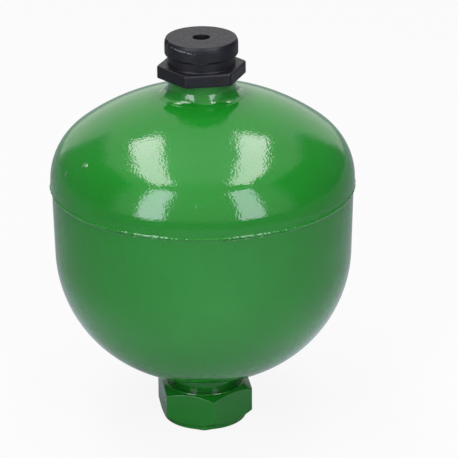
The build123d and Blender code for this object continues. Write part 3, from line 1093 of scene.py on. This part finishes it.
class ACCUMULATOR_OT_fluid_port(Operator):
    """The hexagon fluid port with its chamfers, tapped bore and weld"""

    bl_idname = "accumulator.fluid_port"
    bl_label = "Fluid port"

    def execute(self, context):
        p = context.scene.accumulator_port
        flats, face, neck = p.flats / 2, p.face / 2, p.neck / 2
        minor, passage, entry = p.thread_minor / 2, p.passage / 2, p.entry / 2
        point = (minor - passage) / tan(p.drill_point)
        past = flats / cos(pi / 6) + PAST_CORNERS
        drop = (past - face) * tan(p.top_chamfer)
        lift = (past - face) * tan(p.foot_chamfer)
        top, lip, edge = p.hex_height, p.hex_height + p.lip, p.edge
        outline = rounded([
            (face, 0.0, edge), (face, p.foot_rim, edge), (past, p.foot_rim + lift, 0),
            (past, top - drop, 0), (face - LIP_FOOT, top - 0.0001, 0.0001),
            (face - LIP_START, lip, 0.00015), (face - LIP_END, lip, 0.00015),
            (face - LIP_BACK, top, 0.0003), (neck, top, edge / 2), (neck, PORT_SEAT, edge),
            (passage, PORT_SEAT, 0), (passage, p.thread_depth + point, 0),
            (minor, p.thread_depth, 0), (minor, entry - minor, edge / 2), (entry, 0.0, edge / 2),
        ])
        # rows are fine where the cones cross the flats, in the thread and at the paint drop
        middle = middles(outline)
        on_cone = middle[:, 0] > face
        in_bore = (abs(middle[:, 0] - minor) < 2 * NEAR) & (middle[:, 1] < p.thread_depth)
        at_drip = (middle[:, 0] > face - DRIP_OUT) & (middle[:, 1] < p.foot_rim)
        spacing = np.select(
            [at_drip, on_cone, in_bore],
            [DRIP_SPACING, CONE_SPACING, p.thread_pitch / PORT_THREAD_ROWS], COARSE,
        )
        outline = divide(outline, spacing)
        out, height = outline[:, :1], outline[:, 1:]
        angles = hexagon_angles(HEX_COLUMNS)
        # smooth least of the turned radius and the hexagon's
        flat_part = hexagon_sum(angles, 0.0, PORT_SHARPNESS)
        radius = flats * ((out / flats) ** -PORT_SHARPNESS + flat_part) ** (-1 / PORT_SHARPNESS)
        form = thread_form(angles, outline[:, 1], p.thread_pitch)
        held = fade(height, entry - minor, p.thread_depth - p.thread_pitch, p.thread_pitch)
        cut = (p.thread_major - p.thread_minor) / 2
        radius = radius + cut * held * (out < minor + NEAR) * form
        # the drop of paint is two bell curves, round the axis and up it
        drip = bell(turned_from(angles, DRIP_TURN) * face, DRIP_WIDTH) * bell(height, DRIP_HEIGHT)
        held = np.clip((out - face + DRIP_OUT) / DRIP_OUT, 0, 1)
        points = around(radius + DRIP_OUT * drip * held, height, angles)
        piece = enamelled("hexagon_port", points)
        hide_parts("fluid_port")
        fluid, _ = domes()
        fillet_bead("port_fillet", "fluid_port_weld", fluid, -1, neck, p.weld_leg, p.weld_height)
        return {"FINISHED"}


class ACCUMULATOR_OT_gas_boss(Operator):
    """The gas boss with its painted foot, bare threaded stud and weld"""

    bl_idname = "accumulator.gas_boss"
    bl_label = "Gas boss"

    def execute(self, context):
        b = context.scene.accumulator_boss
        foot, stud, bore = b.foot / 2, b.stud / 2, b.counterbore / 2
        screw, passage = b.screw / 2, b.passage / 2
        seal = BOSS_TOP - b.counterbore_depth
        hole_end = seal - b.screw_depth
        point = (screw - passage) / tan(b.drill_point)
        edge = 0.0002
        outline = rounded([
            (passage, BOSS_FOOT, 0), (foot, BOSS_FOOT, edge), (foot, CAP_LOW, edge),
            (stud, CAP_LOW, 0), (stud, BOSS_TOP - b.chamfer, edge),
            (stud - b.chamfer, BOSS_TOP, edge), (bore, BOSS_TOP, edge), (bore, seal, edge),
            (screw, seal, edge), (screw, hole_end, 0), (passage, hole_end - point, 0),
        ])
        middle = middles(outline)
        on_stud = (middle[:, 0] > stud - edge) & (middle[:, 1] > CAP_LOW)
        outline = divide(outline, np.where(on_stud, b.pitch / STUD_THREAD_ROWS, COARSE))
        out, height = outline[:, :1], outline[:, 1:]
        angles = even_angles(TURNED_COLUMNS)
        form = thread_form(angles, outline[:, 1] - CAP_LOW, b.pitch)
        first, last, width = STUD_RUN_OUT
        held = fade(height, CAP_LOW + first, BOSS_TOP + last, width)
        held = held * (out > stud - b.chamfer - NEAR)
        points = around(out - b.thread_depth * held * form, height, angles)
        # the enamel stops at the stud: that and the inside are bare
        bare = (outline[:, 1] > CAP_LOW - 0.00005) & (outline[:, 0] < foot - 0.0003)
        inside = outline[:, 0] < bore + NEAR
        piece = make_piece(
            "threaded_boss", points, "vessel",
            ["green_enamel", "phosphated_thread"], parts=(bare | inside).astype(np.int32),
        )
        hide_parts("gas_boss")
        _, gas = domes()
        fillet_bead(
            "boss_fillet", "gas_boss_weld", gas, 1, foot, b.weld_leg, b.weld_height, b.weld_full,
        )
        return {"FINISHED"}


class ACCUMULATOR_OT_charging(Operator):
    """The charging screw and its seal"""

    bl_idname = "accumulator.charging"
    bl_label = "Charging screw"

    def execute(self, context):
        dress("charging_screw", "zinc_plating")
        dress("charging_screw_seal", "seal_rubber")
        return {"FINISHED"}


def dress(node, finish):
    """A CAD node that stays gets a better material in each of its slots."""
    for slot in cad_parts[node].material_slots:
        slot.material = finish_of(finish)


class ACCUMULATOR_OT_cap(Operator):
    """The moulded protective cap with its hexagon flange and weep hole"""

    bl_idname = "accumulator.cap"
    bl_label = "Protective cap"

    def execute(self, context):
        c = context.scene.accumulator_cap
        b = context.scene.accumulator_boss
        angles = hexagon_angles(HEX_COLUMNS, c.turn, crowding=0.75)
        step = BOSS_TOP + CAP_ROOM
        flange_top = CAP_LOW + c.flange
        inner = self.turned_part(c, b, flange_top, step)
        flange, flange_height = self.flange(c, angles, flange_top)
        # level faces join the flange to the turned part, under it and over it
        share = np.array(FLANGE_SHARES)[:, None]
        under = inner[-1, 0] * (1 - share) + flange[0] * share
        over = flange[-1] * (1 - share) + inner[0, 0] * share
        level_rows = np.ones(len(share))
        height = np.concatenate([
            CAP_LOW * level_rows, flange_height, flange_top * level_rows, inner[:, 1],
        ])
        inner_rows = np.broadcast_to(inner[:, :1], (len(inner), len(angles)))
        radius = np.vstack([under, flange, over, inner_rows])
        form = thread_form(angles, height - CAP_LOW, b.pitch)
        first, last, width = CAP_RUN_OUT
        held = fade(height, CAP_LOW + first, step + last, width)
        held[:-len(inner)] = 0
        held[-len(inner):] *= abs(inner[:, 0] - b.stud / 2 - c.fit) < 0.00012
        radius = radius - (b.thread_depth * held)[:, None] * form
        # the nick: a smooth dent in the disc's top edge
        disc, height = c.disc / 2, height[:, None]
        dent = bell(turned_from(angles, NICK_TURN) * disc, NICK_WIDTH)
        at_edge = bell(height - (CAP_HIGH - NICK_DROP), NICK_HEIGHT)
        outside = radius > disc - NICK_REACH
        points = around(radius - c.nick * outside * at_edge * dent, height, angles)
        piece = make_piece("moulded_cap", points, "cap", ["cap_plastic"])
        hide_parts("protective_cap")
        return {"FINISHED"}

    def turned_part(self, c, b, flange_top, step):
        """Open outline from the flange's top, over the disc and down inside to the foot."""
        flats, neck, disc = c.flats / 2, c.neck / 2, c.disc / 2
        bore, ceiling_r, hole = b.stud / 2 + c.fit, c.ceiling / 2, c.hole / 2
        ceiling = CAP_HIGH - c.top_wall
        neck_top = flange_top + c.neck_height
        bevel_low = CAP_HIGH - c.bevel_height
        ledge, worn = CAP_HIGH - CAP_LEDGE, disc - CAP_STEP
        core = flats - 0.002
        outline = rounded([
            (neck, flange_top, 0.0005), (neck, neck_top, 0.0006), (disc, neck_top, 0.0008),
            (disc, ledge, 0.0002), (worn, ledge + 0.00015, 0.00003),
            (worn, bevel_low + 0.0004, 0.0003), (disc - c.bevel_width, CAP_HIGH, 0.0005),
            (hole, CAP_HIGH, 0.0003), (hole, ceiling, 0.0001), (ceiling_r, ceiling, 0.0006),
            (ceiling_r, step + bore - ceiling_r, 0.0003), (bore, step, 0.0003),
            (bore, CAP_LOW + CAP_ENTRY, 0.0001), (bore + CAP_ENTRY, CAP_LOW, 0.0001),
            (core, CAP_LOW, 0), (core, flange_top, 0),
        ], steps=5)
        # the last two corners, and the fillet's foot on the flange, give way to the flange
        out, height = outline[:, 0], outline[:, 1]
        at_core = (out > core - 0.001) & (height < flange_top + NEAR)
        at_foot = (out > neck + 0.0006) & (height <= flange_top)
        part = outline[~at_core & ~at_foot]
        middle = (part[:-1] + part[1:]) / 2
        in_bore = (abs(middle[:, 0] - bore) < NEAR) & (middle[:, 1] < step)
        on_edge = (middle[:, 1] > ledge) & (middle[:, 0] > disc - 0.0012)
        spacing = np.select([in_bore, on_edge], [b.pitch / STUD_THREAD_ROWS, 0.0004], 0.002)
        return divide(part, spacing, closed=False)

    def flange(self, c, angles, flange_top):
        """Radii and heights up the flange's side: the hexagon's, less an inset at its edges.

        The inset at a rounded edge is its radius times 1 less the cosine of its turn.
        """
        edge, foot = c.flange_edge, c.flange_foot
        turn = np.linspace(0, pi / 2, 7)
        inset, rise = 1 - np.cos(turn), 1 - np.sin(turn)
        side = np.linspace(CAP_LOW + foot, flange_top - edge, 8)[1:-1]
        insets = np.concatenate([foot * rise, 0 * side, edge * inset])
        height = np.concatenate([CAP_LOW + foot * inset, side, flange_top - edge * rise])
        root = hexagon_sum(angles, c.turn, CAP_SHARPNESS) ** (-1 / CAP_SHARPNESS)
        return c.flats / 2 * root - insets[:, None], height


class ACCUMULATOR_OT_bladder(Operator):
    """The rubber separator, built in one shape; the real one folds up flat as the closing button
    rises
    """

    bl_idname = "accumulator.bladder"
    bl_label = "Bladder"

    def execute(self, context):
        r = context.scene.accumulator_rubber
        s = context.scene.accumulator_shells
        fluid, _ = domes()
        outside = s.wall + r.gap
        outer, inner = (
            fluid.section(r.bead_drop, r.pad / 2, inset) * (1, -1)
            for inset in (outside, outside + r.thickness)
        )
        # the bead is most of a circle, open where the wall leaves it
        bead = r.bead / 2
        middle = fluid.radius(r.bead_drop, outside) - bead
        turn = np.linspace(*RIM_ARC, 30)
        rim = [middle + bead * np.cos(turn), bead * np.sin(turn) - r.bead_drop]
        low = BLADDER_LOW - SEAM
        high = low + r.thickness
        pad = [
            (r.pad / 2 - 0.0002, high), (r.stud_hole / 2, high), (r.stud_hole / 2, low),
            (r.recess / 2, low),
        ]
        # the inner wall's first rows lie inside the bead
        rows = divide(np.vstack([outer[:0:-1], np.stack(rim, axis=1), inner[3:], pad]), COARSE)
        points = turned(rows + (0, SEAM), even_angles(TURNED_COLUMNS))
        piece = make_piece("separator", points, "vessel", ["bladder_rubber"])
        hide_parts("bladder")
        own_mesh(piece)
        return {"FINISHED"}


class ACCUMULATOR_OT_inner_metal(Operator):
    """Materials of the clamp ring, the closing button and its washer"""

    bl_idname = "accumulator.inner_metal"
    bl_label = "Inner metal"

    def execute(self, context):
        for node in ("clamp_ring", "closing_button", "button_washer"):
            dress(node, "oiled_steel")
        return {"FINISHED"}


# ---- Panel and registration --------------------------------------------------

OPERATORS = (
    ACCUMULATOR_OT_stage,
    ACCUMULATOR_OT_shells,
    ACCUMULATOR_OT_girth_weld,
    ACCUMULATOR_OT_fluid_port,
    ACCUMULATOR_OT_gas_boss,
    ACCUMULATOR_OT_charging,
    ACCUMULATOR_OT_cap,
    ACCUMULATOR_OT_bladder,
    ACCUMULATOR_OT_inner_metal,
)

GROUPS = {
    "accumulator_shells": ShellSizes,
    "accumulator_port": PortSizes,
    "accumulator_boss": BossSizes,
    "accumulator_cap": CapSizes,
    "accumulator_rubber": RubberSizes,
    "accumulator_finishes": Finishes,
    "accumulator_stage": StageSizes,
}


class ACCUMULATOR_PT_sidebar(Panel):
    """Lists the accumulator's pieces and sizes"""

    bl_idname = "ACCUMULATOR_PT_sidebar"
    bl_label = "Accumulator"
    bl_space_type = "VIEW_3D"
    bl_region_type = "UI"
    bl_category = "Accumulator"

    def draw(self, context):
        for operator in OPERATORS:
            self.layout.operator(operator.bl_idname)
        for name, group in GROUPS.items():
            box = self.layout.box()
            box.label(text=group.__doc__)
            for key in group.__annotations__:
                box.prop(getattr(context.scene, name), key)


def register():
    """Register the classes and hang the property groups on the scene."""
    for group in GROUPS.values():
        bpy.utils.register_class(group)
    for name, group in GROUPS.items():
        setattr(bpy.types.Scene, name, PointerProperty(type=group))
    for operator in OPERATORS:
        bpy.utils.register_class(operator)
    bpy.utils.register_class(ACCUMULATOR_PT_sidebar)


def unregister():
    """Undo register."""
    bpy.utils.unregister_class(ACCUMULATOR_PT_sidebar)
    for operator in reversed(OPERATORS):
        bpy.utils.unregister_class(operator)
    for name, group in GROUPS.items():
        delattr(bpy.types.Scene, name)
        bpy.utils.unregister_class(group)


def main():
    """Build the stage and every piece."""
    register()
    for operator in OPERATORS:
        group, name = operator.bl_idname.split(".")
        getattr(getattr(bpy.ops, group), name)()


if __name__ == "__main__":
    main()
